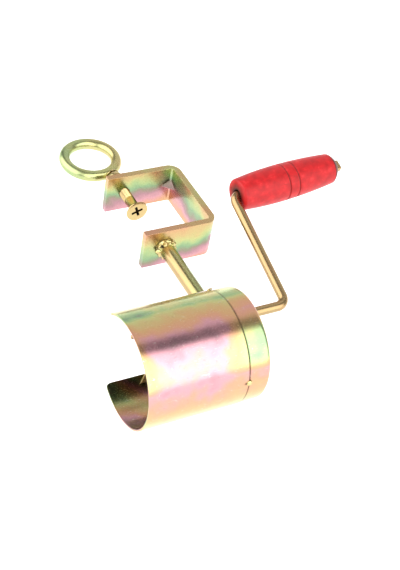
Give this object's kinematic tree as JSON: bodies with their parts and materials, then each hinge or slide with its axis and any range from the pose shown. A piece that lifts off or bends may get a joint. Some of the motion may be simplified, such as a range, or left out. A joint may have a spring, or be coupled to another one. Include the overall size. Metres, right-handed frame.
{
  "type": "strap winder",
  "caption": "Hand-cranked winding drum with a forked spindle inside, carried by a rod on a screw clamp for a bench edge or post.",
  "frame": {"origin": "centre of the fixed jaw's inner face, on the clamp screw's axis", "axes": "+X along the drum towards the crank, +Y along the clamp screw from the fixed jaw to the ring, +Z across the clamp bar's width"},
  "size_m": [0.2269, 0.2743, 0.0807],
  "materials": {
    "sheet_chromate": "yellow-chromated zinc plate on cold-rolled sheet, iridescent",
    "bar_chromate": "yellow-chromated zinc plate on flat bar, iridescent green and pink",
    "rod_chromate": "yellow-chromated zinc plate on drawn round bar",
    "weld_bead": "plated arc-weld bead, lumpy",
    "red_wood": "turned wood, red lacquer, satin gloss"
  },
  "bodies": {
    "frame": {"clamp_bar": "bar_chromate", "support_rod": "rod_chromate", "jaw_weld": "weld_bead", "cup_weld": "weld_bead", "drum_shell": "sheet_chromate", "end_cup": "sheet_chromate", "tack_weld_1": "weld_bead", "tack_weld_2": "weld_bead", "tack_weld_3": "weld_bead", "guide_plate": "sheet_chromate", "bearing_sleeve": "rod_chromate", "sleeve_weld": "weld_bead"},
    "screw_carrier": {"tail_weld": "weld_bead"},
    "screw": {"clamp_screw": "rod_chromate", "ring_handle": "rod_chromate", "ring_weld": "weld_bead"},
    "crank": {"crank_rod": "rod_chromate", "retaining_washer": "rod_chromate", "winding_fork": "rod_chromate", "fork_weld": "weld_bead"},
    "grip": {"grip": "red_wood"}
  },
  "joints": [
    {"name": "crank_spin", "type": "hinge", "parent": "frame", "child": "crank", "pos_m": [0, -0.0835, 0], "axis": [1, 0, 0], "continuous": true},
    {"name": "grip_spin", "type": "hinge", "parent": "crank", "child": "grip", "pos_m": [0.0565, 0.00367, 0.02782], "axis": [0.9962, 0.083, 0.0265], "continuous": true},
    {"name": "screw_travel", "type": "slide", "parent": "frame", "child": "screw_carrier", "axis": [0, -1, 0], "range_m": [-0.0171, 0.0101]},
    {"name": "screw_turn", "type": "hinge", "parent": "screw_carrier", "child": "screw", "pos_m": [0, 0.0385, 0], "axis": [0, -1, 0], "range_deg": [-4896, 2880]}
  ],
  "couplings": [
    {"joint": "screw_travel", "follows": "screw_turn", "m_per_rad": 0.00019894}
  ]
}
